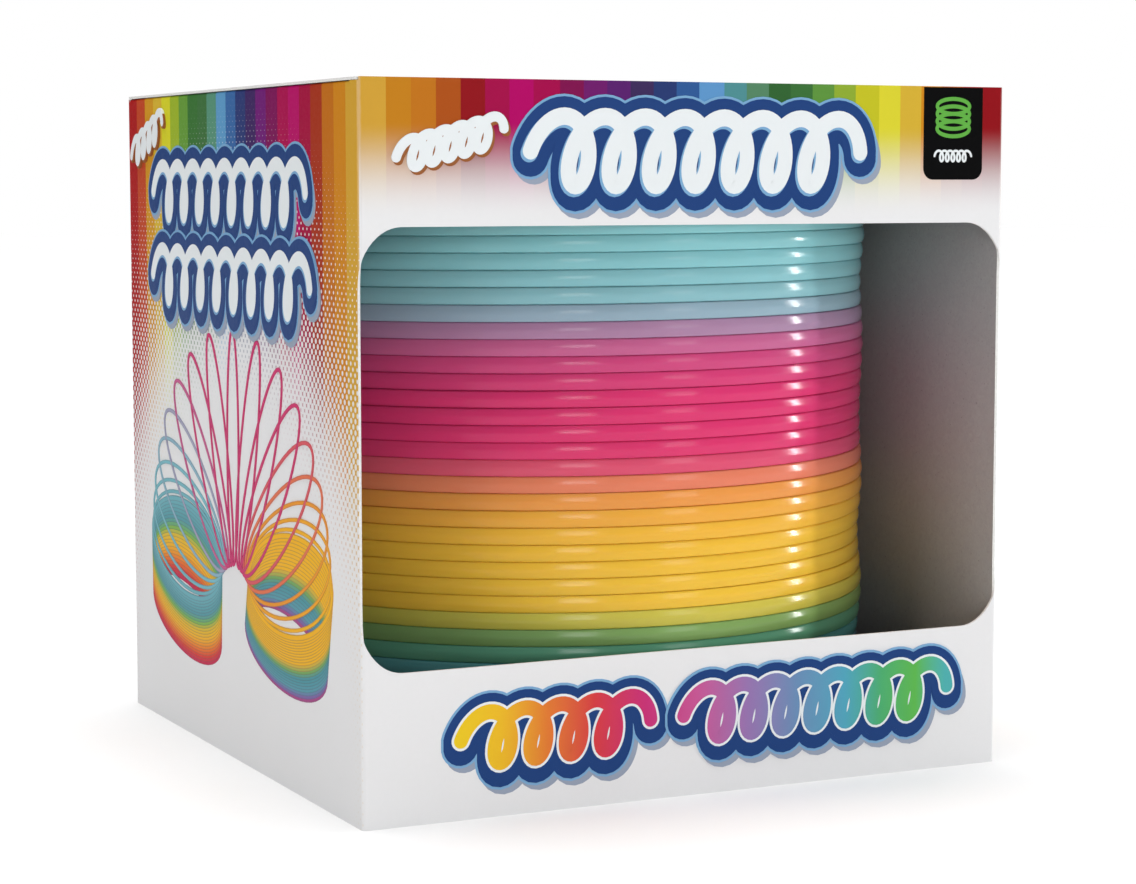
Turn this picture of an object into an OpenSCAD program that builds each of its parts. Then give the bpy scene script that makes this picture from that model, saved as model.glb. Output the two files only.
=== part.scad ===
// Boxed giant rainbow coil spring: a folding window carton with the plastic coil standing inside it.
// Origin at the centre of the underside, +Z up, front (window side) towards -Y. Millimetres.

/* [Carton] */
// Outer width, across the window front
box_w = 160; // [150:1:180]
// Outer depth, front to back
box_d = 160; // [150:1:180]
// Outer height
box_h = 158; // [152:1:175]
// Board thickness
board = 0.6; // [0.4:0.1:0.8]
// Play left between one layer of board and the next where they move
play = 0.1; // [0.05:0.05:0.2]

/* [Window] */
// Height of the window's lower edge above the base
window_low = 33; // [25:1:45]
// Height of the window's upper edge above the base
window_high = 127; // [120:1:130]
// How far the window's corner curve reaches across the front
corner_across = 10.4; // [6:0.2:14]
// How far the window's corner curve reaches up or down
corner_up = 14; // [8:0.5:18]
// How far the window wraps round each front fold onto the side panels
wrap = 0.8; // [0.4:0.1:1.2]

/* [Flaps] */
// Depth of the tuck flap below the lid
tuck_depth = 16; // [12:1:18]
// Lean of the closed tuck flap, away from the front panel
tuck_lean = 7; // [5:0.5:8]
// Reach of each dust flap across the opening
dust_reach = 60; // [40:1:70]
// Reach of each inner bottom flap
minor_reach = 58; // [40:1:75]
// Width of the glue flap
glue_w = 15; // [10:1:20]

/* [Coil] */
// Number of turns
turns = 35; // [35:35]
// Outer radius of the coil
coil_r = 76; // [70:0.5:76.5]
// Radial width of the flat plastic wire
wire_w = 6; // [4:0.5:8]
// Height of the plastic wire
wire_h = 3.8; // [3.5:0.05:3.85]
// Rise from one turn to the next
pitch = 3.9; // [3.9:0.05:4]
// Coil axis, to the right of the carton's middle
coil_x = 2.6; // [0:0.1:2.8]
// Coil axis, in front of the carton's middle
coil_front = 0.2; // [0:0.1:0.4]
// Largest sideways wander of a turn from the coil axis
wander = 0.45; // [0:0.05:0.5]

/* [Hidden] */
$fn = 96;
in_w = box_w / 2 - board;
in_d = box_d / 2 - board;
lid_z = box_h - board;
dust_z = lid_z - board - play;
coil_z = 3 * board + 0.05;
tuck_gap = 0.85;
dust_front_gap = 4;
dust_rear_gap = 1.5;
lid_front = -in_d + play;
fold_share = sqrt(1 - pow(1 - wrap / corner_across, 2));
notch_low = window_low + corner_up * (1 - fold_share);
notch_high = window_high - corner_up * (1 - fold_share);

CARTON_NODES = 14;

// The coil's colours from the bottom turn to the top one.
RAINBOW = [
    "purple", "crimson", "orangered", "orange", "gold", "yellowgreen", "mediumseagreen", "teal",
    "darkcyan", "yellowgreen", "gold", "gold", "orange", "salmon", "hotpink", "hotpink",
    "mediumorchid", "cadetblue", "turquoise", "cadetblue"
];

// A sheet of board standing up along X, its outline drawn in X and Z, its front face at y.
module upright(y) {
    translate([0, y + board, 0])
        rotate([90, 0, 0])
            linear_extrude(board)
                children();
}

// Half of the window's outline at one corner: a quarter of an oval from the fold to the straight edge.
function corner_points(edge, outward) = [
    for (a = [0 : 6 : 90])
        let (reach = in_w + board + wrap)
        [reach - corner_across * (1 - cos(a)), edge + outward * corner_up * (sin(a) - 1)]
];

// The right edge of a front band: its outer corner, the fold down to the window's curve, and the curve.
function band_edge(edge, outer, outward) = concat(
    [[in_w, outer], [in_w, edge - outward * corner_up * (1 - fold_share)]],
    [for (p = corner_points(edge, outward)) if (p[0] <= in_w) p]
);

// The part of the front panel above the window, or below it.
module front_band(edge, outer, outward) {
    right = band_edge(edge, outer, outward);
    upright(-box_d / 2)
        polygon(concat(right, [for (i = [len(right) - 1 : -1 : 0]) [-right[i][0], right[i][1]]]));
}

module front_header_panel() {
    color("gold")
        front_band(window_high, box_h, 1);
}

module front_lower_panel() {
    color("white")
        front_band(window_low, 0, -1);
}

// A side panel, drawn on the left: the window wraps round the front fold and takes a shallow bite from it.
module side_panel() {
    difference() {
        translate([-box_w / 2, -box_d / 2, 0])
            cube([board, box_d, dust_z]);
        translate([-box_w / 2 - 1, -box_d / 2 - 1, notch_low])
            cube([board + 2, wrap + 1, notch_high - notch_low]);
    }
}

module left_side_panel() {
    color("whitesmoke")
        side_panel();
}

module right_side_panel() {
    color("whitesmoke")
        mirror([1, 0, 0])
            side_panel();
}

module back_panel() {
    color("white")
        upright(in_d)
            translate([-in_w, 0])
                square([2 * in_w, lid_z]);
}

// Glued inside the left side panel, with both ends cut on the slant.
module glue_flap() {
    slant = 4;
    color("lightgray")
        translate([-in_w, 0, 0])
            rotate([90, 0, 90])
                linear_extrude(board)
                    polygon([
                        [in_d, 3 * board + 1],
                        [in_d, dust_z - 2],
                        [in_d - glue_w, dust_z - 2 - slant],
                        [in_d - glue_w, 3 * board + 1 + slant]
                    ]);
}

module bottom_flap_front() {
    color("white")
        translate([-in_w, -in_d, 0])
            cube([2 * in_w, 2 * in_d, board]);
}

module bottom_flap_back() {
    color("lightgray")
        translate([-in_w, -in_d, board])
            cube([2 * in_w, 2 * in_d, board]);
}

// An inner bottom flap, drawn on the left, with its free corners cut off.
module minor_flap() {
    cut = 8;
    translate([0, 0, 2 * board])
        linear_extrude(board)
            polygon([
                [-in_w, -in_d + 1],
                [-in_w + minor_reach - cut, -in_d + 1],
                [-in_w + minor_reach, -in_d + 1 + cut],
                [-in_w + minor_reach, in_d - 1 - cut],
                [-in_w + minor_reach - cut, in_d - 1],
                [-in_w, in_d - 1]
            ]);
}

module bottom_flap_left() {
    color("lightgray")
        minor_flap();
}

module bottom_flap_right() {
    color("lightgray")
        mirror([1, 0, 0])
            minor_flap();
}

// Hinged along its rear edge, where it folds out of the back panel.
module lid_panel() {
    color("white")
        translate([-box_w / 2, lid_front, lid_z])
            cube([box_w, box_d / 2 - lid_front, board]);
}

// Hangs from the lid's front edge, with rounded lower corners.
module tuck_flap() {
    round_r = 9;
    half = in_w - 1.5;
    color("white")
        translate([0, lid_front, box_h])
            rotate([90 + tuck_lean, 0, 0])
                translate([0, 0, -board])
                    linear_extrude(board)
                        polygon(concat(
                            [[half, -tuck_gap], [-half, -tuck_gap]],
                            [for (a = [180 : 10 : 270])
                                [-half + round_r + round_r * cos(a), -tuck_depth + round_r + round_r * sin(a)]],
                            [for (a = [270 : 10 : 360])
                                [half - round_r + round_r * cos(a), -tuck_depth + round_r + round_r * sin(a)]]
                        ));
}

// A dust flap, drawn on the left. Its rear edge runs back at a slant, which lets the lid swing past it.
module dust_flap() {
    front = -in_d + dust_front_gap;
    translate([0, 0, dust_z])
        linear_extrude(board)
            polygon([
                [-box_w / 2, front],
                [-box_w / 2 + dust_reach - 10, front],
                [-box_w / 2 + dust_reach, front + 14],
                [-box_w / 2 + dust_reach, box_d / 2 - dust_rear_gap - dust_reach / 2],
                [-box_w / 2, box_d / 2 - dust_rear_gap]
            ]);
}

module dust_flap_left() {
    color("whitesmoke")
        dust_flap();
}

module dust_flap_right() {
    color("whitesmoke")
        mirror([1, 0, 0])
            dust_flap();
}

// One turn of the coil as a closed ring: a flat wire with a crowned outer face and rounded edges.
module coil_turn(number) {
    shift_x = coil_x + wander * sin(number * 47);
    shift_y = -coil_front + wander * 0.5 * sin(number * 61 + 40);
    crown = 0.9;
    edge = 0.5;
    color(RAINBOW[floor((number - 1) * (len(RAINBOW) - 1) / (turns - 1) + 0.5)])
        translate([shift_x, shift_y, coil_z + (number - 1) * pitch])
            rotate_extrude()
                polygon([
                    [coil_r - wire_w + edge, 0],
                    [coil_r - crown, 0],
                    [coil_r - 0.25, wire_h * 0.22],
                    [coil_r, wire_h * 0.5],
                    [coil_r - 0.25, wire_h * 0.78],
                    [coil_r - crown, wire_h],
                    [coil_r - wire_w + edge, wire_h],
                    [coil_r - wire_w, wire_h - edge],
                    [coil_r - wire_w, edge]
                ]);
}

left_side_panel();
right_side_panel();
back_panel();
front_header_panel();
front_lower_panel();
glue_flap();
bottom_flap_front();
bottom_flap_back();
bottom_flap_left();
bottom_flap_right();
lid_panel();
tuck_flap();
dust_flap_left();
dust_flap_right();
for (number = [1 : turns])
    coil_turn(number);
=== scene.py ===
"""Looks for the boxed rainbow coil spring: a printed window carton with the plastic coil inside it."""

import math

import bmesh
import bpy
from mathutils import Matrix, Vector


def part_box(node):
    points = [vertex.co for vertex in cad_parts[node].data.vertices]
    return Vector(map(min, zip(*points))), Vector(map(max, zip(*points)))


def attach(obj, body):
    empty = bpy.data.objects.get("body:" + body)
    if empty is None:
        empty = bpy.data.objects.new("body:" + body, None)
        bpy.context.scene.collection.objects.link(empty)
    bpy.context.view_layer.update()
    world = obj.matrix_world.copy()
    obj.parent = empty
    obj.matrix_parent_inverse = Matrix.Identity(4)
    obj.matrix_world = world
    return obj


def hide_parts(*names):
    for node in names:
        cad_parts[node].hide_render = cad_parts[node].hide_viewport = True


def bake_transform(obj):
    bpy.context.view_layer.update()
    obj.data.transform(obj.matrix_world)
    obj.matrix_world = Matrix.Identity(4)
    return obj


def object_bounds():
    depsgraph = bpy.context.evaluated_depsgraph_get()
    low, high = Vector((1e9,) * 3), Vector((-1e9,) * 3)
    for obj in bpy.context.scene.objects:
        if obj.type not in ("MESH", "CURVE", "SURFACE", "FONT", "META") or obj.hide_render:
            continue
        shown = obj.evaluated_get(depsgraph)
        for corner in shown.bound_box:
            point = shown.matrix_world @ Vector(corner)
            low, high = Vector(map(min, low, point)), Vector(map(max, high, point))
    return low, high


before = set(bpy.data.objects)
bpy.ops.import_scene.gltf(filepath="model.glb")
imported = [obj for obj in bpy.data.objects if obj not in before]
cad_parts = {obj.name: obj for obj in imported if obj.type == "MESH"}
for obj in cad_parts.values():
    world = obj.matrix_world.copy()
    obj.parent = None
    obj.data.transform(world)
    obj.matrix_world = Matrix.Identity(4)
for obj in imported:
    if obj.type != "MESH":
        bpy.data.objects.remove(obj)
CAD_LOW, CAD_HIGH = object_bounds()

MM = 0.001
WIDTH = CAD_HIGH.x - CAD_LOW.x
DEPTH = CAD_HIGH.y - CAD_LOW.y
HEIGHT = CAD_HIGH.z - CAD_LOW.z
LID_LOW, LID_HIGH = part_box("lid_panel")
BOARD = LID_HIGH.z - LID_LOW.z
DUST_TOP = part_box("dust_flap_left")[1].z

# The window, as part.scad has it.
WINDOW_LOW = 33 * MM
WINDOW_HIGH = 127 * MM
CORNER_ACROSS = 10.4 * MM
CORNER_UP = 14 * MM
WRAP = 0.8 * MM

FOLD_R = 0.9 * MM
BACK_WALL_TOP = HEIGHT - FOLD_R
DUST_FOLD_R = 0.65 * MM
SIDE_TOP = DUST_TOP - DUST_FOLD_R


# ---------------------------------------------------------------- camera, light and floor

CAMERA_PLACE = Vector((-0.2897, -0.6086, 0.1368))
CAMERA_YAW = math.radians(26.0)
CAMERA_PITCH = math.radians(-5.47)
CAMERA_LENS = 86.8
SENSOR_WIDTH = 36
NEAR_CLIP = 0.01
AMBIENT = 0.1
FLOOR_HALF = 6.0
# The soft boxes: place, (width, height) and power.
SOFT_BOXES = {
    "key": ((-0.42, -1.39, 0.26), (0.3, 0.4), 3.3),
    "side": ((-1.4, -0.5, 0.5), (0.7, 0.5), 3.1),
    "strip": ((1.25, -0.42, 0.16), (0.06, 0.55), 7),
    "fill": ((0.5, -1.36, 0.3), (0.3, 0.4), 2.0),
}


def linked(name, data, materials=()):
    """A new object in the scene, with these materials."""
    made = bpy.data.objects.new(name, data)
    for material in materials:
        data.materials.append(material)
    bpy.context.scene.collection.objects.link(made)
    return made


def make_camera():
    data = bpy.data.cameras.new("camera")
    data.lens = CAMERA_LENS
    data.sensor_width = SENSOR_WIDTH
    data.clip_start = NEAR_CLIP
    camera = linked("camera", data)
    camera.location = CAMERA_PLACE
    camera.rotation_euler = (math.pi / 2 + CAMERA_PITCH, 0, -CAMERA_YAW)
    bpy.context.scene.camera = camera


def area_light(name, place, size, power):
    """A soft box aimed at the middle of the carton."""
    data = bpy.data.lights.new(name, "AREA")
    data.shape = "RECTANGLE"
    data.size, data.size_y = size
    data.energy = power
    light = linked(name, data)
    light.location = place
    aim = Vector((0, 0, HEIGHT / 2)) - Vector(place)
    light.rotation_euler = aim.to_track_quat("-Z", "Y").to_euler()


def sun_light(name, azimuth, elevation, energy, softness):
    """A distant light. azimuth turns from the front (-Y) to the left (-X). softness is its angular size."""
    data = bpy.data.lights.new(name, "SUN")
    data.energy = energy
    data.angle = math.radians(softness)
    light = linked(name, data)
    turn, rise = math.radians(azimuth), math.radians(elevation)
    source = Vector((-math.sin(turn) * math.cos(rise), -math.cos(turn) * math.cos(rise), math.sin(rise)))
    light.rotation_euler = source.to_track_quat("Z", "Y").to_euler()


def make_studio():
    """A bright white studio: the backdrop shows pure white and lights the carton less strongly than that."""
    world = bpy.data.worlds.new("studio")
    world.use_nodes = True
    tree = world.node_tree
    ambient = tree.nodes["Background"]
    ambient.inputs["Color"].default_value = (1, 1, 1, 1)
    ambient.inputs["Strength"].default_value = AMBIENT
    backdrop = tree.nodes.new("ShaderNodeBackground")
    backdrop.inputs["Color"].default_value = (1, 1, 1, 1)
    seen = tree.nodes.new("ShaderNodeLightPath")
    either = tree.nodes.new("ShaderNodeMixShader")
    tree.links.new(seen.outputs["Is Camera Ray"], either.inputs["Fac"])
    tree.links.new(ambient.outputs["Background"], either.inputs[1])
    tree.links.new(backdrop.outputs["Background"], either.inputs[2])
    tree.links.new(either.outputs["Shader"], tree.nodes["World Output"].inputs["Surface"])
    bpy.context.scene.world = world
    bpy.context.scene.view_settings.view_transform = "Standard"
    sun_light("overhead", azimuth=155, elevation=86, energy=3.42, softness=50)
    for name, (place, size, power) in SOFT_BOXES.items():
        area_light(name, place, size, power)


def make_floor(material):
    mesh = bpy.data.meshes.new("floor")
    corners = [(x * FLOOR_HALF, y * FLOOR_HALF, 0) for x, y in ((-1, -1), (1, -1), (1, 1), (-1, 1))]
    mesh.from_pydata(corners, [], [(0, 1, 2, 3)])
    linked("floor", mesh, [material])


# ---------------------------------------------------------------- materials


class Shader:
    """A Principled material and short ways to add nodes to it."""

    def __init__(self, name, roughness=0.5, specular=0.5):
        self.material = bpy.data.materials.new(name)
        self.material.use_nodes = True
        self.tree = self.material.node_tree
        self.bsdf = self.tree.nodes["Principled BSDF"]
        self.bsdf.inputs["Roughness"].default_value = roughness
        self.bsdf.inputs["Specular IOR Level"].default_value = specular

    def put(self, socket, value):
        if isinstance(value, bpy.types.NodeSocket):
            self.tree.links.new(value, socket)
        elif isinstance(value, (tuple, list)) and len(value) == 3 and socket.type == "RGBA":
            socket.default_value = (*value, 1)
        else:
            socket.default_value = value

    def node(self, kind, inputs=None, **settings):
        made = self.tree.nodes.new(kind)
        for key, value in settings.items():
            setattr(made, key, value)
        for key, value in (inputs or {}).items():
            self.put(made.inputs[key], value)
        return made

    def math(self, operation, a, b=0.0, c=0.0, clamp=False):
        inputs = {0: a, 1: b, 2: c}
        return self.node("ShaderNodeMath", inputs, operation=operation, use_clamp=clamp).outputs[0]

    def smooth(self, value, low, high, to_low=0.0, to_high=1.0):
        made = self.node(
            "ShaderNodeMapRange",
            {"Value": value, "From Min": low, "From Max": high, "To Min": to_low, "To Max": to_high},
            interpolation_type="SMOOTHSTEP",
        )
        return made.outputs["Result"]

    def mix(self, share, a, b, blend="MIX"):
        made = self.node("ShaderNodeMix", data_type="RGBA", blend_type=blend, clamp_factor=True)
        self.put(made.inputs[0], share)
        self.put(made.inputs[6], a)
        self.put(made.inputs[7], b)
        return made.outputs[2]

    def length(self, a, b):
        squares = [self.math("MULTIPLY", side, side) for side in (a, b)]
        return self.math("SQRT", self.math("ADD", *squares))

    def noise(self, scale, detail=3.0, distortion=0.0):
        place = self.node("ShaderNodeTexCoord").outputs["Object"]
        inputs = {"Vector": place, "Scale": scale, "Detail": detail, "Distortion": distortion}
        return self.node("ShaderNodeTexNoise", inputs).outputs["Fac"]

    def attribute(self, name):
        made = self.node("ShaderNodeAttribute", attribute_name=name, attribute_type="GEOMETRY")
        return made.outputs["Fac"]

    def ramp(self, value, stops, interpolation="LINEAR"):
        """stops are (place from 0 to 1, linear colour)."""
        made = self.node("ShaderNodeValToRGB", {"Fac": value})
        ramp = made.color_ramp
        ramp.interpolation = interpolation
        for element, (place, colour) in zip(ramp.elements, (stops[0], stops[-1])):
            element.position = place
            element.color = (*colour, 1)
        for place, colour in stops[1:-1]:
            ramp.elements.new(place).color = (*colour, 1)
        return made.outputs["Color"]

    def colour_ramp(self, value, stops, interpolation="LINEAR"):
        """stops are (place from 0 to 1, colour as srgb() takes it)."""
        return self.ramp(value, [(place, srgb(*colour)) for place, colour in stops], interpolation)

    def across_and_up(self):
        """Places on a board panel, in metres: across it and up it, from its UV map."""
        uv = self.node("ShaderNodeUVMap", uv_map="panel").outputs["UV"]
        parts = self.node("ShaderNodeSeparateXYZ", {0: uv})
        return parts.outputs["X"], parts.outputs["Y"]

    def bump(self, height, strength, distance):
        made = self.node("ShaderNodeBump", {"Height": height, "Strength": strength, "Distance": distance})
        self.put(self.bsdf.inputs["Normal"], made.outputs["Normal"])

    def finish(self, colour, roughness=None):
        self.put(self.bsdf.inputs["Base Color"], colour)
        if roughness is not None:
            self.put(self.bsdf.inputs["Roughness"], roughness)
        return self.material


def srgb(r, g, b):
    """A colour given as 0 to 255 in sRGB, in linear light."""
    return tuple((v / 255 / 12.92) if v < 10.3 else ((v / 255 + 0.055) / 1.055) ** 2.4 for v in (r, g, b))


BOARD_SHEEN = 0.03
BOARD_GLOSS = 0.42
INK_GLOSS = 0.36
MOTTLE = 0.035
CLOUDS = 0.04
WEAR_START, WEAR_END = 0.5 * MM, 1.1 * MM
WEAR_STRENGTH = 0.14
WHITE_BOARD = srgb(229, 229, 230)
BARE_BOARD = (0.93, 0.93, 0.92)
# The stripes' colours, from the front's left fold and from a side wall's rear fold.
FRONT_STRIPES = [
    (203, 156, 57), (191, 125, 30), (188, 113, 30), (169, 80, 27), (142, 23, 30), (160, 17, 72),
    (174, 10, 98), (160, 14, 74), (124, 20, 77), (108, 30, 104), (88, 34, 107), (61, 45, 89),
    (42, 58, 110), (49, 88, 146), (92, 146, 196), (77, 138, 142), (83, 130, 97), (50, 97, 50),
    (58, 109, 55), (91, 143, 61), (138, 166, 52), (190, 187, 38), (212, 204, 51), (206, 170, 54),
    (202, 132, 30), (172, 84, 28), (156, 34, 28), (141, 18, 26),
]
SIDE_STRIPES = [
    (170, 22, 24), (190, 70, 34), (206, 146, 28), (212, 176, 50), (212, 208, 40), (154, 178, 42),
    (100, 152, 56), (58, 114, 52), (62, 112, 60), (86, 144, 119), (92, 152, 196), (57, 102, 160),
    (45, 58, 114), (63, 38, 96), (110, 26, 115), (123, 16, 87), (168, 10, 78), (180, 10, 100),
    (162, 14, 62), (164, 52, 26), (191, 109, 24), (203, 131, 26), (206, 158, 52),
]


def board_print(shader, colour, gloss=BOARD_GLOSS):
    """Ink on coated board: slight mottle in colour, gloss and surface."""
    shader.bsdf.inputs["Specular IOR Level"].default_value = BOARD_SHEEN
    mottle = shader.noise(900, detail=4)
    clouds = shader.math("MULTIPLY", shader.noise(26, detail=2), CLOUDS)
    tone = shader.math("ADD", shader.math("MULTIPLY", mottle, MOTTLE), clouds)
    shade = shader.ramp(tone, [(0.0, (0.95,) * 3), (MOTTLE + CLOUDS, (1.0,) * 3)])
    shader.bump(shader.noise(2400), strength=0.12, distance=0.04 * MM)
    roughness = shader.smooth(mottle, 0.3, 0.7, gloss - 0.05, gloss + 0.06)
    return shader.finish(shader.mix(1.0, colour, shade, "MULTIPLY"), roughness)


def fold_wear(shader, colour, across, length):
    """A pale line where the ink is rubbed off the folds at both ends of a panel."""
    to_fold = shader.math("MINIMUM", across, shader.math("SUBTRACT", length, across))
    rubbed = shader.math("MULTIPLY", shader.noise(500), WEAR_START)
    wear = shader.smooth(shader.math("ADD", to_fold, rubbed), WEAR_START, WEAR_END, WEAR_STRENGTH, 0.0)
    return shader.mix(wear, colour, BARE_BOARD)


def stripes(shader, place, length, colours):
    """Even bands of the colours, side by side, where place runs from 0 to length."""
    stops = [(i / len(colours), colour) for i, colour in enumerate(colours)]
    return shader.colour_ramp(shader.math("DIVIDE", place, length), stops, "CONSTANT")


DOT_PITCH = 1.7 * MM
DOT_RADIUS = 0.62
DOT_SOFTNESS = 0.05


def halftone(shader, across, up, ink):
    """1 where a white halftone dot is, 0 between dots. Dots grow as ink falls from 1 to 0."""
    offsets = []
    for operation in ("ADD", "SUBTRACT"):
        diagonal = shader.math("MULTIPLY", shader.math(operation, up, across), math.sqrt(0.5))
        cell = shader.math("FRACT", shader.math("DIVIDE", diagonal, DOT_PITCH))
        offsets.append(shader.math("SUBTRACT", cell, 0.5))
    radius = shader.math("MULTIPLY", shader.math("SUBTRACT", 1.0, ink), DOT_RADIUS)
    inside = shader.math("SUBTRACT", radius, shader.length(*offsets))
    return shader.smooth(inside, -DOT_SOFTNESS, DOT_SOFTNESS)


def print_white():
    return board_print(Shader("printed white"), WHITE_BOARD)


# Where the stripes fade, from white to full: on the front, above the window; on the lid, from its middle.
FRONT_FADE = (WINDOW_HIGH + 1 * MM, WINDOW_HIGH + 22 * MM)
FRONT_FADE_CURVE = 1.1
LID_FADE = (30 * MM, 70 * MM)


def print_front():
    """Stripes that fade to white just above the window."""
    shader = Shader("printed stripes, front")
    across, up = shader.across_and_up()
    fade = shader.math("POWER", shader.smooth(up, *FRONT_FADE), FRONT_FADE_CURVE)
    colour = shader.mix(fade, WHITE_BOARD, stripes(shader, across, WIDTH, FRONT_STRIPES))
    return board_print(shader, fold_wear(shader, colour, across, WIDTH))


def faded_stripes(shader, place, bands, ink, colour, dots, white, least_ink=0.0):
    """Stripes that come in from white as place grows, under white dots.

    The dots shrink over the places ink, the stripes come in over colour, and the dots' white goes over dots.
    """
    ink_share = shader.math("ADD", shader.smooth(place, *ink), least_ink, clamp=True)
    spots = halftone(shader, *shader.across_and_up(), ink_share)
    spots = shader.math("MULTIPLY", spots, shader.smooth(place, *dots, white, 0.0))
    striped = shader.mix(shader.smooth(place, *colour), WHITE_BOARD, bands)
    return shader.mix(spots, striped, WHITE_BOARD)


# On the sides, as distances from a point low on the wall's middle; on the back, as heights.
SIDE_CENTRE = 10 * MM
SIDE_FADE = {
    "ink": (66 * MM, 158 * MM), "colour": (70 * MM, 106 * MM), "dots": (134 * MM, 150 * MM), "white": 0.92,
}
BACK_FADE = {
    "ink": (104 * MM, 146 * MM), "colour": (96 * MM, 140 * MM), "dots": (136 * MM, 148 * MM), "white": 0.85,
    "least_ink": 0.1,
}


def print_side(mirrored=False):
    """Stripes that break up into dots and fade to white around the printed coil."""
    shader = Shader(f"printed stripes, {'right' if mirrored else 'left'} side")
    across, up = shader.across_and_up()
    from_back = shader.math("SUBTRACT", DEPTH, across) if mirrored else across
    sideways = shader.math("SUBTRACT", across, DEPTH / 2)
    reach = shader.length(sideways, shader.math("SUBTRACT", up, SIDE_CENTRE))
    colour = faded_stripes(shader, reach, stripes(shader, from_back, DEPTH, SIDE_STRIPES), **SIDE_FADE)
    return board_print(shader, fold_wear(shader, colour, across, DEPTH))


def print_back():
    shader = Shader("printed stripes, back")
    across, up = shader.across_and_up()
    colour = faded_stripes(shader, up, stripes(shader, across, WIDTH, FRONT_STRIPES), **BACK_FADE)
    return board_print(shader, fold_wear(shader, colour, across, WIDTH))


def print_lid():
    """Stripes along the front and rear edges, white between them."""
    shader = Shader("printed stripes, lid")
    across, up = shader.across_and_up()
    middle = shader.math("ABSOLUTE", shader.math("SUBTRACT", up, DEPTH / 2))
    bands = stripes(shader, across, WIDTH, FRONT_STRIPES)
    colour = shader.mix(shader.smooth(middle, *LID_FADE), WHITE_BOARD, bands)
    return board_print(shader, fold_wear(shader, colour, up, DEPTH))


def board_inside():
    """The unprinted grey side: short fibres and flecks in recycled pulp."""
    shader = Shader("grey board", specular=0.25)
    fibre = shader.noise(700, detail=4, distortion=1.6)
    clouds = shader.noise(60)
    flecks = shader.smooth(shader.noise(1500, detail=2), 0.66, 0.74)
    base = shader.mix(fibre, srgb(148, 147, 146), srgb(174, 173, 171))
    base = shader.mix(shader.math("MULTIPLY", clouds, 0.5), base, srgb(161, 160, 159))
    base = shader.mix(shader.math("MULTIPLY", flecks, 0.5), base, srgb(112, 109, 106))
    shader.bump(fibre, strength=0.35, distance=0.06 * MM)
    return shader.finish(base, 0.85)


def board_edge():
    """The cut edge: pale pulp layers."""
    shader = Shader("cut board edge", specular=0.25)
    fibre = shader.noise(1800)
    shader.bump(fibre, strength=0.4, distance=0.05 * MM)
    return shader.finish(shader.mix(fibre, srgb(206, 205, 201), srgb(240, 240, 238)), 0.8)


def ink(name, colour):
    return board_print(Shader(name, roughness=INK_GLOSS), colour, INK_GLOSS)


# The slogan's colours, along the front from its left fold to its right one.
SLOGAN_COLOURS = [
    (0.13, (234, 200, 40)), (0.20, (234, 184, 44)), (0.27, (224, 122, 54)), (0.34, (212, 64, 68)),
    (0.42, (198, 52, 118)), (0.50, (198, 88, 148)), (0.58, (150, 116, 174)), (0.66, (106, 140, 180)),
    (0.74, (82, 162, 186)), (0.80, (78, 170, 112)), (0.86, (94, 180, 80)), (0.91, (80, 172, 172)),
]


def ink_rainbow():
    """The slogan's fill, yellow to green along the panel."""
    shader = Shader("ink rainbow")
    across, _ = shader.across_and_up()
    share = shader.math("DIVIDE", across, WIDTH)
    return board_print(shader, shader.colour_ramp(share, SLOGAN_COLOURS), INK_GLOSS)


# The printed coil's colours, along it from one end to the other.
PRINTED_COIL = [
    (0.00, (196, 22, 74)), (0.03, (214, 46, 44)), (0.07, (230, 112, 30)), (0.13, (238, 176, 18)),
    (0.18, (222, 182, 36)), (0.22, (112, 176, 80)), (0.26, (78, 150, 160)), (0.40, (118, 182, 194)),
    (0.43, (150, 170, 192)), (0.45, (196, 84, 138)), (0.47, (206, 46, 112)), (0.55, (206, 46, 108)),
    (0.58, (222, 104, 82)), (0.60, (230, 148, 34)), (0.64, (238, 178, 14)), (0.80, (238, 180, 18)),
    (0.85, (112, 166, 92)), (0.88, (72, 148, 158)), (0.95, (86, 154, 170)), (0.98, (112, 106, 170)),
    (1.00, (166, 70, 134)),
]
RIM_SHADE = (0.10, 0.07, 0.09)


def ink_coil():
    """The printed coil: each loop bright along its middle and darker at its rims."""
    shader = Shader("ink printed coil")
    rim = shader.smooth(shader.attribute("rim"), 0.45, 1.0, 0.0, 0.45)
    colour = shader.mix(rim, shader.colour_ramp(shader.attribute("along"), PRINTED_COIL), RIM_SHADE)
    return board_print(shader, colour, 0.38)


# The coil's colours, along it from its lower end to its upper one. The green stops at 0.215 and 0.245 are
# partly the coil's own green and partly painted shade: they are darkened towards olive for the shade along
# the window's lower edge.
COIL_COLOURS = [
    (0.00, (214, 60, 110)), (0.05, (208, 58, 120)), (0.10, (176, 92, 150)), (0.15, (118, 150, 178)),
    (0.185, (88, 162, 164)), (0.215, (98, 162, 128)), (0.245, (134, 168, 96)), (0.27, (202, 192, 82)),
    (0.295, (238, 192, 66)), (0.40, (240, 188, 64)), (0.45, (236, 168, 70)), (0.48, (232, 148, 80)),
    (0.505, (226, 124, 104)), (0.53, (218, 78, 116)), (0.56, (218, 58, 112)), (0.65, (216, 58, 114)),
    (0.70, (204, 74, 126)), (0.735, (192, 104, 148)), (0.755, (170, 126, 160)), (0.775, (152, 162, 182)),
    (0.80, (138, 184, 192)), (0.86, (134, 192, 198)), (0.96, (132, 190, 193)), (1.00, (134, 186, 150)),
]


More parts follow.
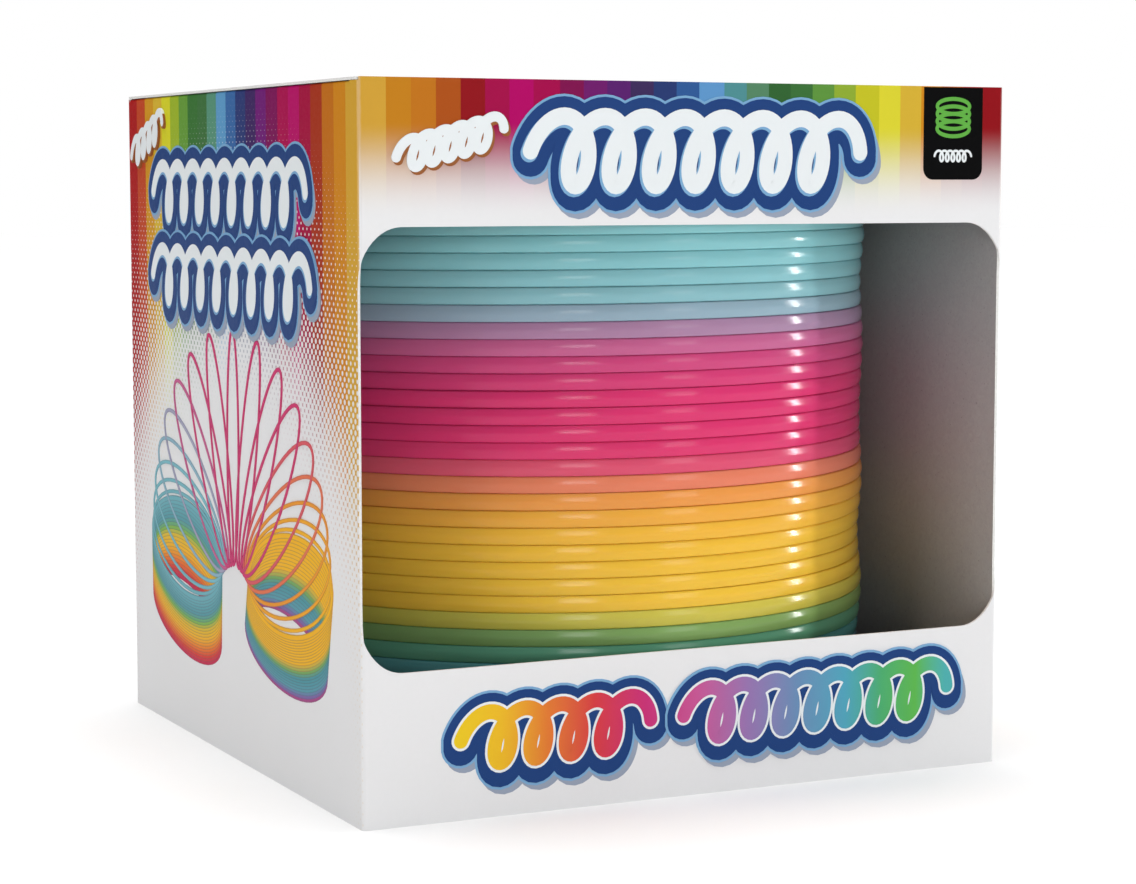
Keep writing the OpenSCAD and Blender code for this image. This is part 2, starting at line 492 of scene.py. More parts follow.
def coil_plastic():
    """Glossy moulded plastic, its colour running along the coil."""
    shader = Shader("coil plastic", roughness=0.14, specular=0.16)
    shader.bump(shader.noise(90, detail=1), strength=0.05, distance=0.2 * MM)
    shader.bsdf.inputs["Subsurface Weight"].default_value = 0.35
    shader.bsdf.inputs["Subsurface Radius"].default_value = (1.0, 0.7, 0.6)
    shader.bsdf.inputs["Subsurface Scale"].default_value = 3 * MM
    colour = shader.colour_ramp(shader.attribute("along"), COIL_COLOURS)
    return shader.finish(colour, shader.smooth(shader.noise(140, detail=2), 0.3, 0.7, 0.12, 0.16))


def floor_paper():
    shader = Shader("floor", specular=0.2)
    return shader.finish(shader.mix(shader.noise(3, detail=2), (0.87,) * 3, (0.89,) * 3), 0.9)


# ---------------------------------------------------------------- board pieces


def new_object(name, mesh, materials, body, replaces=()):
    """Adds a finished mesh to the scene as a piece that rides on a CAD body."""
    piece = linked(name, mesh, materials)
    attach(piece, body)
    if replaces:
        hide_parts(*replaces)


# Points closer than this count as one.
SAME_PLACE = 1e-7
BOARD_SHARP = math.radians(32)


def settle(mesh, sharp=None, triangulate=True):
    """Turns the faces outwards, splits the many-sided ones and shades smooth up to the angle sharp."""
    build = bmesh.new()
    build.from_mesh(mesh)
    bmesh.ops.recalc_face_normals(build, faces=build.faces)
    if triangulate:
        bmesh.ops.triangulate(build, faces=[f for f in build.faces if len(f.verts) > 4])
    build.to_mesh(mesh)
    build.free()
    if sharp:
        mesh.polygons.foreach_set("use_smooth", [True] * len(mesh.polygons))
        mesh.set_sharp_from_angle(angle=sharp)


def sheet_mesh(name, outlines, place, smooth=False):
    """A closed solid as thick as the board, from a flat mesh of quads or polygons.

    outlines are the flat faces, as lists of (across, up) points that neighbours share exactly.
    place(across, up, depth) gives a point in space. Materials are 0 outside, 1 inside and 2 on the edges.
    """
    index, flat = {}, []
    faces = []
    for outline in outlines:
        found = []
        for across, up in outline:
            key = (round(across / SAME_PLACE), round(up / SAME_PLACE))
            if key not in index:
                index[key] = len(flat)
                flat.append((across, up))
            if not found or index[key] != found[-1]:
                found.append(index[key])
        if found[0] == found[-1]:
            found.pop()
        if len(found) > 2:
            faces.append(found)
    sides = dict.fromkeys(side for face in faces for side in zip(face, face[1:] + face[:1]))
    count = len(flat)
    points = [place(*spot, depth) for depth in (0.0, BOARD) for spot in flat]
    solid = [list(f) for f in faces] + [[v + count for v in reversed(f)] for f in faces]
    kinds = [0] * len(faces) + [1] * len(faces)
    for a, b in sides:
        if (b, a) not in sides:
            solid.append([b, a, a + count, b + count])
            kinds.append(2)
    mesh = bpy.data.meshes.new(name)
    mesh.from_pydata(points, [], solid)
    mesh.polygons.foreach_set("material_index", kinds)
    layer = mesh.uv_layers.new(name="panel")
    for loop in mesh.loops:
        layer.data[loop.index].uv = flat[loop.vertex_index % count]
    settle(mesh, BOARD_SHARP if smooth else None)
    return mesh


def board_piece(name, node, faces, place, material, body="carton_sleeve", smooth=True):
    """A piece of board in place of a CAD node: printed outside, grey inside and pale on its cut edges."""
    mesh = sheet_mesh(name, faces, place, smooth)
    new_object(name, mesh, [material, GREY, EDGE], body, [node])


WALLS = {
    "front": (Vector((-WIDTH / 2, -DEPTH / 2, 0)), Vector((1, 0, 0)), Vector((0, 1, 0)), WIDTH),
    "right": (Vector((WIDTH / 2, -DEPTH / 2, 0)), Vector((0, 1, 0)), Vector((-1, 0, 0)), DEPTH),
    "back": (Vector((WIDTH / 2, DEPTH / 2, 0)), Vector((-1, 0, 0)), Vector((0, -1, 0)), WIDTH),
    "left": (Vector((-WIDTH / 2, DEPTH / 2, 0)), Vector((0, -1, 0)), Vector((1, 0, 0)), DEPTH),
}


def on_wall(wall):
    """place() for a wall: across from its left fold as seen from outside, up, and depth inwards."""
    origin, along, inward, length = WALLS[wall]

    def place(across, up, depth):
        end = min(across, length - across)
        if end >= FOLD_R:
            x, y = across, depth
        else:
            turn = math.radians(45) * (1 - end / FOLD_R)
            x = FOLD_R - (FOLD_R - depth) * math.sin(turn)
            y = FOLD_R - (FOLD_R - depth) * math.cos(turn)
            if across > length / 2:
                x = length - x
        return origin + along * x + inward * y + Vector((0, 0, up))

    return place


def strips(columns):
    """Faces between neighbouring columns; each column is (across, [heights]), all with as many heights."""
    faces = []
    for (s, here), (t, there) in zip(columns, columns[1:]):
        for k in range(len(here) - 1):
            faces.append([(s, here[k]), (t, there[k]), (t, there[k + 1]), (s, here[k + 1])])
    return faces


def window_reach(across):
    """How far the window's edge has left its straight run, at a place beside the fold or past it."""
    t = min(1.0, max(0.0, (across + WRAP) / CORNER_ACROSS))
    return CORNER_UP * (1 - math.sqrt(max(0.0, 1 - (1 - t) ** 2)))


def fold_columns(length):
    """Places across a wall: close together at both folds, further apart between them."""
    near = [FOLD_R * k / 4 for k in range(5)]
    return near, [length - x for x in reversed(near)]


def corner_columns():
    """Places across the front from the fold to the end of the window's corner curve."""
    steps = 14
    return [CORNER_ACROSS * (1 - math.cos(math.pi / 2 * k / steps)) - WRAP for k in range(steps + 1)]


def spread(low, high, count):
    return [low + (high - low) * k / count for k in range(count + 1)]


ARC_STEPS = 6
# Where the side walls are lower, to let the dust flaps fold, from the front; and how wide the step there is.
DUST_FRONT = 4.6 * MM
DUST_REAR = 158.5 * MM
SHOULDER = 0.1 * MM


def front_band(name, node, edge, outer, outward, material):
    """The front above or below the window. outward is 1 above it and -1 below it."""
    near, _ = fold_columns(WIDTH)
    left = sorted(set(round(x, 7) for x in near + [x for x in corner_columns() if x > 0]))
    places = left + spread(left[-1], WIDTH - left[-1], 12)[1:-1] + [WIDTH - x for x in reversed(left)]
    columns = []
    for s in places:
        cut = edge - outward * window_reach(min(s, WIDTH - s))
        low, high = (cut, outer) if outward > 0 else (outer, cut)
        columns.append((s, spread(low, high, 4)))
    board_piece(name, node, strips(columns), on_wall("front"), material)


def side_wall(name, node, wall, material):
    """A side panel: full height, with the window's ends cut a little way into its front fold."""
    near, far = fold_columns(DEPTH)
    low_end = WINDOW_LOW + CORNER_UP
    high_end = WINDOW_HIGH - CORNER_UP
    heights = spread(0, low_end, 3) + spread(low_end, high_end, 4)[1:] + spread(high_end, SIDE_TOP, 3)[1:]
    steps = spread(0, WRAP, 6)
    at_front = [round(x, 7) for x in [WRAP] + near if x >= WRAP]
    shoulders = [DUST_FRONT - SHOULDER, DUST_FRONT, DUST_REAR, DUST_REAR + SHOULDER]
    body = sorted(at_front + spread(FOLD_R, DEPTH - FOLD_R, 8)[1:-1] + far + shoulders)
    faces = strips([(s, topped(heights, s)) for s in body])
    window_ends = ((WINDOW_LOW, 0, low_end, -1), (WINDOW_HIGH, DUST_TOP, high_end, 1))
    for edge, outer, inner, outward in window_ends:
        rows = [h for h in topped(heights, 0) if outward * (h - inner) > -SAME_PLACE]
        columns = []
        for s in steps:
            share = (edge - outward * window_reach(-s) - outer) / (inner - outer)
            columns.append((round(s, 7), [outer + (h - outer) * share for h in rows]))
        faces += strips(columns)
    if wall == "left":
        faces = [[(DEPTH - s, t) for s, t in reversed(face)] for face in faces]
    board_piece(name, node, faces, on_wall(wall), material)


def topped(heights, across):
    """Heights up a side wall, which stands taller at its two ends, clear of the dust flap."""
    clear = across < DUST_FRONT or across > DUST_REAR
    return heights[:-1] + [DUST_TOP if clear else SIDE_TOP]


def back_wall(material):
    near, far = fold_columns(WIDTH)
    body = near + spread(FOLD_R, WIDTH - FOLD_R, 8)[1:-1] + far
    faces = strips([(s, spread(0, BACK_WALL_TOP, 6)) for s in body])
    board_piece("back_board", "back_panel", faces, on_wall("back"), material)


def flat_board(name, node, outline, place, material, body="carton_sleeve"):
    """A flat flap from its outline in its own plane."""
    board_piece(name, node, [outline], place, material, body, smooth=False)


def rounded(points, radii):
    """A closed outline whose corners are rounded with arcs that touch both sides."""
    made = []
    for i, (point, r) in enumerate(zip(points, radii)):
        if r <= 0:
            made.append(point)
            continue
        here = Vector(point)
        before = (Vector(points[i - 1]) - here).normalized()
        after = (Vector(points[(i + 1) % len(points)]) - here).normalized()
        half = before.angle(after) / 2
        reach = r / math.tan(half)
        centre = here + (before + after).normalized() * (r / math.sin(half))
        start, end = here + before * reach - centre, here + after * reach - centre
        first = math.atan2(start.y, start.x)
        turn = math.remainder(math.atan2(end.y, end.x) - first, math.tau)
        for a in spread(first, first + turn, ARC_STEPS):
            made.append((centre.x + r * math.cos(a), centre.y + r * math.sin(a)))
    return made


# ---------------------------------------------------------------- flaps and creases

LID_CORNER = 1.2 * MM
TUCK_HINGE_Y = LID_LOW.y
TUCK_GAP = 0.85 * MM
TUCK_DEPTH = 16 * MM
TUCK_LEAN = math.radians(7)
TUCK_INSET = 2.1 * MM
TUCK_CORNER = 9 * MM
DUST_REACH = 60 * MM
DUST_CUT = (10 * MM, 14 * MM)
DUST_CORNERS = (6 * MM, 4 * MM)
MINOR_REACH = 58.6 * MM
MINOR_CUT = 8 * MM
MINOR_PLAY = 1 * MM
GLUE_WIDTH = 15 * MM
GLUE_LOW, GLUE_HIGH = 2.8 * MM, 154.7 * MM
GLUE_SLANT = 4 * MM


def on_lid(across, up, depth):
    """place() for the lid: across from its left edge, up from the front wall's face, and depth downwards."""
    return Vector((across - WIDTH / 2, up - DEPTH / 2, HEIGHT - depth))


def on_tuck(across, up, depth):
    """place() for the tuck flap: up is negative below its hinge line."""
    y = TUCK_HINGE_Y - up * math.sin(TUCK_LEAN) + depth * math.cos(TUCK_LEAN)
    z = HEIGHT + up * math.cos(TUCK_LEAN) + depth * math.sin(TUCK_LEAN)
    return Vector((across - WIDTH / 2, y, z))


def on_dust(side):
    """place() for a dust flap: across from its own wall, up from the front. side is -1 on the left."""
    return lambda across, up, depth: Vector((side * (WIDTH / 2 - across), up - DEPTH / 2, DUST_TOP - depth))


def on_base(height, side=-1):
    """place() for a bottom flap, its printed side down at that height. across is from its own wall."""
    return lambda across, up, depth: Vector((side * (WIDTH / 2 - across), up - DEPTH / 2, height + depth))


def on_glue(across, up, depth):
    """place() for the glue flap, inside the left wall."""
    return Vector((-WIDTH / 2 + BOARD + depth, across - DEPTH / 2, up))


def crease(name, start, axis, ahead, inward, across, radius, turn, first_up, material, grows=1):
    """A folded strip of board, curving round through the angle turn.

    The strip leaves start heading ahead and turns inward; across is its (low, high) reach along axis.
    """
    start, axis, ahead, inward = Vector(start), Vector(axis), Vector(ahead), Vector(inward)

    def place(s, up, depth):
        angle = grows * (up - first_up) / radius
        outward = ahead * math.sin(angle) - inward * math.cos(angle)
        return start + axis * s + inward * radius + outward * (radius - depth)

    last_up = first_up + grows * radius * turn
    heights = spread(first_up, last_up, 8)
    mesh = sheet_mesh(name, strips([(s, heights) for s in spread(*across, 6)]), place, smooth=True)
    piece = linked(name, mesh, [material, GREY, EDGE])
    middle = (across[0] + across[1]) / 2
    place(middle, first_up, BOARD)
    place(middle, last_up, BOARD)
    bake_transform(piece)


def lid_parts():
    """The lid with its tuck flap, and the creases behind and in front of it."""
    tuck_up = TUCK_HINGE_Y + DEPTH / 2 + TUCK_GAP
    rear_up = DEPTH - FOLD_R
    outline = [(0, tuck_up), (WIDTH, tuck_up), (WIDTH, rear_up), (0, rear_up)]
    outline = rounded(outline, [LID_CORNER, LID_CORNER, 0, 0])
    flat_board("lid_board", "lid_panel", outline, on_lid, LID_PRINT, "lid")
    left, right = TUCK_INSET, WIDTH - TUCK_INSET
    outline = [(right, -TUCK_GAP), (left, -TUCK_GAP), (left, -TUCK_DEPTH), (right, -TUCK_DEPTH)]
    outline = rounded(outline, [0, 0, TUCK_CORNER, TUCK_CORNER])
    flat_board("tuck_board", "tuck_flap", outline, on_tuck, WHITE, "tuck")
    along_x, backwards, forwards, down = (1, 0, 0), (0, 1, 0), (0, -1, 0), (0, 0, -1)
    start = (-WIDTH / 2, DEPTH / 2 - FOLD_R, HEIGHT)
    crease(
        "lid_crease", start, along_x, backwards, down,
        (FOLD_R, WIDTH - FOLD_R), FOLD_R, math.pi / 2, rear_up, LID_PRINT,
    )
    start = (-WIDTH / 2, TUCK_HINGE_Y + TUCK_GAP, HEIGHT)
    turn = math.pi / 2 + TUCK_LEAN
    crease(
        "tuck_crease", start, along_x, forwards, down,
        (left, right), TUCK_GAP / math.tan(turn / 2), turn, tuck_up, LID_PRINT, grows=-1,
    )


def dust_flaps():
    """The flaps under the lid. Both folds are laid out from the front, as the right wall's print is."""
    rear = DUST_REAR - DUST_FOLD_R / 2
    blunt, tight = DUST_CORNERS
    cut_across, cut_up = DUST_CUT
    outline = [
        (DUST_FOLD_R, DUST_FRONT), (DUST_REACH - cut_across, DUST_FRONT), (DUST_REACH, DUST_FRONT + cut_up),
        (DUST_REACH, DUST_REAR - DUST_REACH / 2), (DUST_FOLD_R, rear),
    ]
    outline = rounded(outline, [0, blunt, blunt, tight, 0])
    for word, side in (("left", -1), ("right", 1)):
        body = f"dust_{word}"
        flat_board(f"dust_board_{word}", f"dust_flap_{word}", outline, on_dust(side), WHITE, body)
        start = (side * WIDTH / 2, -DEPTH / 2, SIDE_TOP)
        crease(
            f"dust_crease_{word}", start, (0, 1, 0), (0, 0, 1), (-side, 0, 0),
            (DUST_FRONT, rear), DUST_FOLD_R, math.pi / 2, SIDE_TOP, RIGHT_PRINT,
        )


def base_flaps():
    """The glued base, its printed faces down, and the glue flap that closes the sleeve."""
    near, far = BOARD, DEPTH - BOARD
    full = [(near, near), (WIDTH - BOARD, near), (WIDTH - BOARD, far), (near, far)]
    flat_board("base_front", "bottom_flap_front", full, on_base(0), WHITE)
    flat_board("base_back", "bottom_flap_back", full, on_base(BOARD), WHITE)
    front, rear = near + MINOR_PLAY, far - MINOR_PLAY
    minor = [
        (near, front), (MINOR_REACH - MINOR_CUT, front), (MINOR_REACH, front + MINOR_CUT),
        (MINOR_REACH, rear - MINOR_CUT), (MINOR_REACH - MINOR_CUT, rear), (near, rear),
    ]
    for word, side in (("left", -1), ("right", 1)):
        place = on_base(2 * BOARD, side)
        flat_board(f"base_{word}", f"bottom_flap_{word}", minor, place, WHITE)
    free = far - GLUE_WIDTH
    glue = [(far, GLUE_LOW), (far, GLUE_HIGH), (free, GLUE_HIGH - GLUE_SLANT), (free, GLUE_LOW + GLUE_SLANT)]
    flat_board("glue_board", "glue_flap", glue, on_glue, WHITE)


# ---------------------------------------------------------------- coil

TURNS = 35
COIL_LOW, FIRST_TURN_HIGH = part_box("coil_turn_01")
COIL_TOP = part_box(f"coil_turn_{TURNS}")[1].z
COIL_R = (FIRST_TURN_HIGH.x - COIL_LOW.x) / 2
COIL_X = 2.6 * MM
COIL_Y = -0.2 * MM
# The turns' sideways wander, as part.scad has it: how far, and what one turn adds to each wave's angle.
WANDER = 0.45 * MM
WANDER_X_ANGLE = math.radians(47)
WANDER_Y_ANGLE, WANDER_Y_START = math.radians(61), math.radians(40)
WIRE_W = 6 * MM
WIRE_H = 3.76 * MM
WIRE_EDGE_R = 0.5 * MM
WIRE_CROWN = 0.24 * MM
WIRE_INNER_R = 0.6 * MM
RISE = (COIL_TOP - COIL_LOW.z - WIRE_H) / TURNS
TURN_STEPS = 128
SEAM = math.radians(90)
# Shares of a turn: the gap between one length of the helix and the next, and the coil's rounded ends.
SEAM_GAP = 0.0001
END_ROUND = 0.004
END_ANGLES = (0.35, 0.7, 1.1)
WIRE_SHARP = math.radians(50)


def rounding(radius, steps):
    """A rounded corner as distances from the corner's two sides."""
    return [(radius * (1 - math.sin(a)), radius * (1 - math.cos(a))) for a in spread(0, math.pi / 2, steps)]


def wire_profile():
    """Outline of the flat wire, as (inwards from the outer face, up): crowned outside, with round edges."""
    low = [(WIRE_CROWN + x, y) for x, y in rounding(WIRE_EDGE_R, 4)]
    flank = WIRE_H - 2 * WIRE_EDGE_R
    outer = [(WIRE_CROWN * (2 * t - 1) ** 2, WIRE_EDGE_R + flank * t) for t in (0.25, 0.5, 0.75)]
    top = [(x, WIRE_H - y) for x, y in reversed(low)]
    inner = [(WIRE_W - x, WIRE_H - y) for x, y in rounding(WIRE_INNER_R, 3)]
    inner += [(x, WIRE_H - y) for x, y in reversed(inner)]
    return low + outer + top + inner


def coil_point(turn, inwards, up, squeeze=1.0):
    """A point on the coil, turn counting from its lower end. squeeze narrows the wire about its middle."""
    number = turn + 0.5
    angle = SEAM + 2 * math.pi * turn
    inwards = WIRE_W / 2 + (inwards - WIRE_W / 2) * squeeze
    up = WIRE_H / 2 + (up - WIRE_H / 2) * squeeze
    radius = COIL_R - inwards
    x = COIL_X + WANDER * math.sin(number * WANDER_X_ANGLE) + radius * math.cos(angle)
    y = COIL_Y + WANDER / 2 * math.sin(number * WANDER_Y_ANGLE + WANDER_Y_START) + radius * math.sin(angle)
    return (x, y, COIL_LOW.z + turn * RISE + up)


def coil_turn(number, profile, material):
    """One turn of the helix as a closed mesh, a hair short of the turn before it."""
    places = [number - 1 + SEAM_GAP + (1 - SEAM_GAP) * k / TURN_STEPS for k in range(TURN_STEPS + 1)]
    stations = [(place, 1.0) for place in places]
    tips = [(END_ROUND * (1 - math.cos(a)), math.sin(a)) for a in END_ANGLES]
    if number == 1:
        stations[:1] = tips
    if number == TURNS:
        stations[-1:] = [(TURNS - back, squeeze) for back, squeeze in reversed(tips)]
    ring = len(profile)
    points, along = [], []
    for turn, squeeze in stations:
        for inwards, up in profile:
            points.append(coil_point(turn, inwards, up, squeeze))
            along.append(turn / TURNS)
    faces = []
    for k in range(len(stations) - 1):
        for i in range(ring):
            j = (i + 1) % ring
            faces.append([k * ring + i, k * ring + j, (k + 1) * ring + j, (k + 1) * ring + i])
    faces.append(list(reversed(range(ring))))
    faces.append([(len(stations) - 1) * ring + i for i in range(ring)])
    name = f"coil_wire_{number:02d}"
    mesh = bpy.data.meshes.new(name)
    mesh.from_pydata(points, [], faces)
    mesh.attributes.new("along", "FLOAT", "POINT").data.foreach_set("value", along)
    settle(mesh, WIRE_SHARP, triangulate=False)
    body = "carton_sleeve" if number == 1 else f"turn_{number:02d}"
    new_object(name, mesh, [material], body, [f"coil_turn_{number:02d}"])


# ---------------------------------------------------------------- printed artwork

# The films of ink: what each adds in height, what a stroke rises from one station to the next, so that it
# can cross itself, and how far the undersides stand off the board.
FILM = 0.003 * MM
CLIMB = 0.0001 * MM
FILM_BASE = 0.001 * MM
CAP_STEPS = 5


def stroke_stations(path, width, closed):
    """(middle, unit vector to its left, half width) along a pen stroke, with round ends unless closed."""
    vectors = [Vector(p) for p in path]
    last = len(vectors) - 1
    stations = []
    for i, here in enumerate(vectors):
        before = vectors[i - 1] if closed or i else here
        after = vectors[(i + 1) % len(vectors)] if closed or i < last else here
        ahead = (after - before).normalized()
        stations.append((here, Vector((-ahead.y, ahead.x)), width / 2))
    if closed:
        return stations
    caps = []
    for (here, left, half), sign in ((stations[0], -1), (stations[-1], 1)):
        ahead = Vector((left.y, -left.x)) * sign
        turns = [math.pi / 2 * k / (CAP_STEPS + 0.5) for k in range(1, CAP_STEPS + 1)]
        caps.append([(here + ahead * half * math.sin(a), left, half * math.cos(a)) for a in turns])
    return caps[0][::-1] + stations + caps[1]


class Artwork:
    """Printed shapes on one panel. Each is a film of ink that lies a little above the one before it."""

    def __init__(self, name, place, body="carton_sleeve"):
        self.name, self.place, self.body = name, place, body
        self.points, self.flat, self.along, self.rim = [], [], [], []
        self.faces, self.kinds, self.materials = [], [], []
        self.top = FILM

    def point(self, spot, depth, along=0.0, rim=0.0):
        self.points.append(self.place(*spot, depth))
        self.flat.append(tuple(spot))
        self.along.append(along)
        self.rim.append(rim)
        return len(self.points) - 1

    def add(self, faces, material):
        if material not in self.materials:
            self.materials.append(material)
        self.faces += faces
        self.kinds += [self.materials.index(material)] * len(faces)

    def shape(self, outline, material):
        self.top += FILM
        top = [self.point(p, -self.top) for p in outline]
        base = [self.point(p, -FILM_BASE) for p in outline]
        count = len(outline)
        walls = [[top[i], top[(i + 1) % count], base[(i + 1) % count], base[i]] for i in range(count)]
        self.add([top, base[::-1]] + walls, material)

    def stroke(self, path, width, material, closed=False, along=0.0):
        self.top += FILM
        climb = 0.0 if closed else CLIMB
        rows = []
        for i, (here, left, half) in enumerate(stroke_stations(path, width, closed)):
            depth = -self.top - climb * i
            a, b = here + left * half, here - left * half
            top = [self.point(spot, depth, along, rim) for spot, rim in ((a, 1.0), (here, 0.0), (b, 1.0))]
            rows.append(top + [self.point(spot, -FILM_BASE, along) for spot in (b, a)])
        self.top += climb * len(rows)
        faces = []
        for row, after in zip(rows, rows[1:] + rows[:1] if closed else rows[1:]):
            for k in range(5):
                faces.append([row[k], row[(k + 1) % 5], after[(k + 1) % 5], after[k]])
        if not closed:
            faces += [rows[0], rows[-1][::-1]]
        self.add(faces, material)

    def finish(self):
        mesh = bpy.data.meshes.new(self.name)
        mesh.from_pydata(self.points, [], self.faces)
        mesh.polygons.foreach_set("material_index", self.kinds)
        for name, values in (("along", self.along), ("rim", self.rim)):
            mesh.attributes.new(name, "FLOAT", "POINT").data.foreach_set("value", values)
        layer = mesh.uv_layers.new(name="panel")
        for loop in mesh.loops:
            layer.data[loop.index].uv = self.flat[loop.vertex_index]
        settle(mesh)
        new_object(self.name, mesh, self.materials, self.body)


# From here on, places and sizes in the printed artwork are in millimetres across and up a panel.
LOOP_STEPS = 40
OVAL_STEPS = 44
TITLE_BORDER = 5.2
RIM = 1.1
SHADE_OFFSET = (0.9, -2.4)
PLAQUE_DROPS = (-1.3, 0.0)
LETTER_DEPTH = (-0.35, -0.45)
LETTER_RIM = 0.3
MARK_SHADE = (0.5, -0.6)


def scribble(across, middle, height, loops, rise=0.0, lean=0.0, narrow=0.65):
    """A row of joined oval loops, like a spring drawn side on, from across[0] to across[1]."""
    start, end = across
    tall, wide = height / 2, narrow * height / 2
    step = (end - start - 2 * wide) / (loops + 0.5)
    path = []
    for k in range(int((loops + 0.5) * LOOP_STEPS) + 1):
        angle = 2 * math.pi * k / LOOP_STEPS
        up = tall * math.sin(angle)
        x = start + wide + step * k / LOOP_STEPS - wide * math.cos(angle) + up * lean
        path.append((x, middle + up + (x - start) * rise))
    return path


def draw(art, path, pen, ink_name, move=(0.0, 0.0), closed=False, along=0.0):
    """A pen stroke along a path."""
    spots = [((across + move[0]) * MM, (up + move[1]) * MM) for across, up in path]
    art.stroke(spots, pen * MM, INKS[ink_name], closed, along)


def title(art, path, pen, border=TITLE_BORDER, fill="white", outline=False):
    """A spring motif on a dark plaque that follows it, with a pale rim and a soft shade below right."""
    plaque = pen + border
    draw(art, path, plaque + RIM, "shade", SHADE_OFFSET)
    for ink_name, width in (("pale", plaque + RIM), ("blue", plaque)):
        for drop in PLAQUE_DROPS:
            draw(art, path, width, ink_name, (0.0, drop))
    if outline:
        draw(art, path, pen + RIM, "white")
    else:
        draw(art, path, pen + LETTER_RIM, "pale", LETTER_DEPTH)
    draw(art, path, pen, fill)


def word_mark(art, path, pen):
    """A small spring motif in white, straight on the stripes."""
    draw(art, path, pen, "dusk", MARK_SHADE)
    draw(art, path, pen, "white")


def oval(inner, outer, half_width):
    """A closed loop from its inner end to its outer end."""
    middle, reach = (inner + outer) / 2, (outer - inner) / 2
    side = Vector((-reach.y, reach.x)).normalized() * half_width
    turns = [2 * math.pi * k / OVAL_STEPS for k in range(OVAL_STEPS)]
    return [middle + reach * math.cos(a) + side * math.sin(a) for a in turns]


def part_way(a, b, share):
    return a + (b - a) * share


# The printed coil: a close stack of loops at each foot, and half a fan of wide ones above it. Places are
# from the point under the arch where the loops draw together. A loop is given by its inner and outer end.
STACK_LOOPS, FAN_LOOPS = 22, 8
HALF_LOOPS = STACK_LOOPS + FAN_LOOPS
LOWEST_LOOP = {-1: ((-11, -21.5), (-63.7, -14.5)), 1: ((7, -13.5), (59.5, -18))}
STACK_TOP = {side: ((side * 10, -2.5), (side * 63.5, 2.5)) for side in (-1, 1)}
STACK_HALF_WIDTHS, FAN_HALF_WIDTHS = (9, 11.5), (4, 11.5)
STACK_PEN, FAN_PEN = 1.35, 0.95
FAN_ROOT = (Vector((1, -0.5)), Vector((10, -2.5)))
FAN_REACH = (63, 55)
FAN_ANGLE = math.radians(88)
FAN_EASE = 1.7


def coil_loop(k, side):
    """A loop's inner end, outer end, half width and pen. k counts from a foot up to the arch's top."""
    if k < STACK_LOOPS:
        share = k / STACK_LOOPS
        ends = zip(LOWEST_LOOP[side], STACK_TOP[side])
        inner, outer = (part_way(Vector(low), Vector(high), share) for low, high in ends)
        return inner, outer, part_way(*STACK_HALF_WIDTHS, share), STACK_PEN
    open_out = 1 - (1 - (HALF_LOOPS - k) / (FAN_LOOPS + 1)) ** FAN_EASE
    angle = FAN_ANGLE * open_out
    root = part_way(*FAN_ROOT, open_out)
    outer = Vector((side * FAN_REACH[0] * math.sin(angle), FAN_REACH[1] * math.cos(angle)))
    return Vector((side * root.x, root.y)), outer, part_way(*FAN_HALF_WIDTHS, open_out), FAN_PEN


def printed_coil(name, wall, height, mirrored=False, scale=1.0):
    """A long coil bent into an arch in the middle of a wall. Both halves share the loop at the top."""
    art = Artwork(name, on_wall(wall))
    centre = Vector((WALLS[wall][3] / 2 / MM, height))
    stretch = Vector((-scale if mirrored else scale, scale))
    for k in range(HALF_LOOPS + 1):
        for side in (-1, 1) if k < HALF_LOOPS else (-1,):
            inner, outer, half_width, pen = coil_loop(k, side)
            loop = oval(centre + inner * stretch, centre + outer * stretch, half_width * scale)
            along = k / (2 * HALF_LOOPS)
            draw(art, loop, pen * scale, "coil", closed=True, along=along if side < 0 else 1 - along)
    art.finish()


# The maker's tab: its left, right, low and high edges, and the stack of green loops on it.
TAB = (138.2, 154.3, 136.8, 157.8)
TAB_CORNER = 2.6
TAB_LOOPS = 4
TAB_LOOP_LOW, TAB_LOOP_PITCH = 148.4, 1.7
TAB_LOOP_REACH, TAB_LOOP_HALF = 4.4, 1.7


def front_art():
    art = Artwork("front_art_title", on_wall("front"))
    path = scribble((39.2, 121.2), middle=142.9, height=14.8, loops=7, lean=0.16, narrow=0.6)
    title(art, path, pen=3.7, border=4.7)
    path = scribble((8.4, 33.0), middle=141.4, height=6.2, loops=5, rise=0.25, lean=0.14, narrow=0.7)
    word_mark(art, path, pen=2.1)
    art.finish()
    art = Artwork("front_art_slogan", on_wall("front"))
    for across, middle, loops in (((22.6, 68.4), 17.3, 4), ((76.6, 146.2), 18.2, 7)):
        path = scribble(across, middle, 11.4, loops, rise=0.016, lean=0.16, narrow=0.66)
        title(art, path, pen=3.3, border=4.9, fill="rainbow", outline=True)
    art.finish()
    art = Artwork("front_art_tab", on_wall("front"))
    left, right, low, high = (edge * MM for edge in TAB)
    corners = [(left, low), (right, low), (right, high), (left, high)]
    art.shape(rounded(corners, [TAB_CORNER * MM, TAB_CORNER * MM, 0, 0]), INKS["black"])
    middle = (TAB[0] + TAB[1]) / 2
    reach = Vector((TAB_LOOP_REACH, 0))
    for k in range(TAB_LOOPS):
        centre = Vector((middle, TAB_LOOP_LOW + TAB_LOOP_PITCH * k))
        draw(art, oval(centre - reach, centre + reach, TAB_LOOP_HALF), 0.9, "green", closed=True)
    draw(art, scribble((middle - 5, middle + 5), middle=142.2, height=2.4, loops=5), 0.55, "white")
    art.finish()


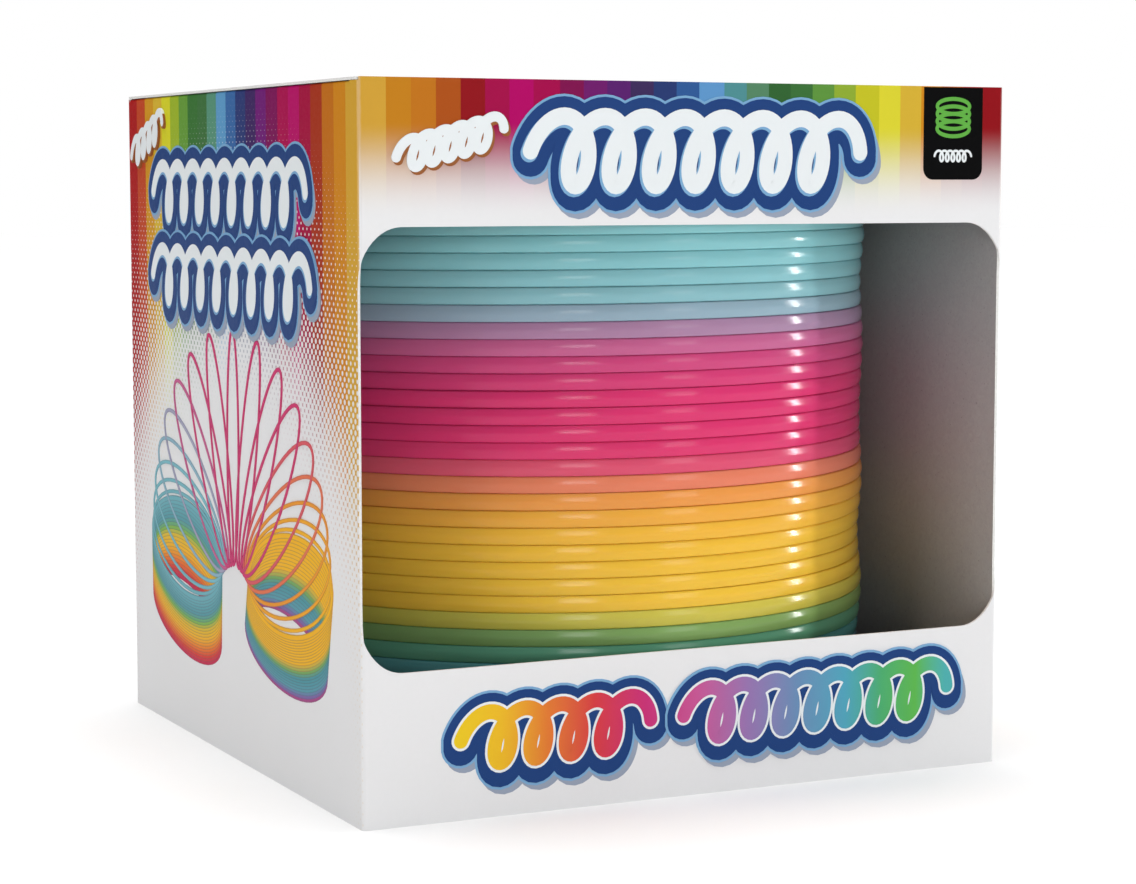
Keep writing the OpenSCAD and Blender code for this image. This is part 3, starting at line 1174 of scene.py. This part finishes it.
def side_art(wall, mirrored=False):
    """The printing on a side wall; mirrored turns the composition round for the other side."""
    length = WALLS[wall][3] / MM

    def span(low, high):
        return (length - high, length - low) if mirrored else (low, high)

    art = Artwork(f"{wall}_art_title", on_wall(wall))
    for across, middle in (((21.4, 129.5), 134.0), ((21.0, 132.4), 113.4)):
        title(art, scribble(span(*across), middle, height=12.6, loops=8, lean=0.12), pen=3.2, border=5.4)
    start, rise = (151.0, -0.32) if mirrored else (142.8, 0.32)
    path = scribble(span(4.2, 30.0), start, height=6.4, loops=4, rise=rise, lean=0.14, narrow=0.7)
    word_mark(art, path, pen=2.2)
    art.finish()
    printed_coil(f"{wall}_art_coil", wall, 47, mirrored)


def back_art():
    art = Artwork("back_art_title", on_wall("back"))
    title(art, scribble((34, 126), middle=136, height=15.6, loops=8, lean=0.16), pen=3.5)
    art.finish()
    printed_coil("back_art_coil", "back", 50, scale=0.96)


def lid_art():
    art = Artwork("lid_art_title", on_lid, body="lid")
    title(art, scribble((31, 129), middle=96, height=17, loops=8, lean=0.16), pen=3.8)
    path = scribble((52, 108), middle=66, height=11, loops=6, lean=0.16)
    title(art, path, pen=3.2, fill="rainbow", outline=True)
    art.finish()


# ---------------------------------------------------------------- the whole scene

WHITE = print_white()
GREY = board_inside()
EDGE = board_edge()
FRONT_PRINT = print_front()
SIDE_PRINT = print_side()
RIGHT_PRINT = print_side(mirrored=True)
BACK_PRINT = print_back()
LID_PRINT = print_lid()
INKS = {
    "blue": ink("ink dark blue", srgb(36, 66, 122)),
    "pale": ink("ink pale blue", srgb(122, 168, 206)),
    "shade": ink("ink grey shade", srgb(150, 160, 178)),
    "white": ink("ink white", srgb(228, 233, 235)),
    "black": ink("ink black", srgb(8, 8, 9)),
    "green": ink("ink green", srgb(96, 170, 70)),
    "dusk": ink("ink dusk", srgb(150, 92, 52)),
    "rainbow": ink_rainbow(),
    "coil": ink_coil(),
}

make_camera()
make_studio()
make_floor(floor_paper())

front_band("header_board", "front_header_panel", WINDOW_HIGH, HEIGHT, 1, FRONT_PRINT)
front_band("lower_board", "front_lower_panel", WINDOW_LOW, 0.0, -1, WHITE)
side_wall("left_board", "left_side_panel", "left", SIDE_PRINT)
side_wall("right_board", "right_side_panel", "right", RIGHT_PRINT)
back_wall(BACK_PRINT)
lid_parts()
dust_flaps()
base_flaps()

front_art()
side_art("left")
side_art("right", mirrored=True)
back_art()
lid_art()

profile = wire_profile()
plastic = coil_plastic()
for number in range(1, TURNS + 1):
    coil_turn(number, profile, plastic)
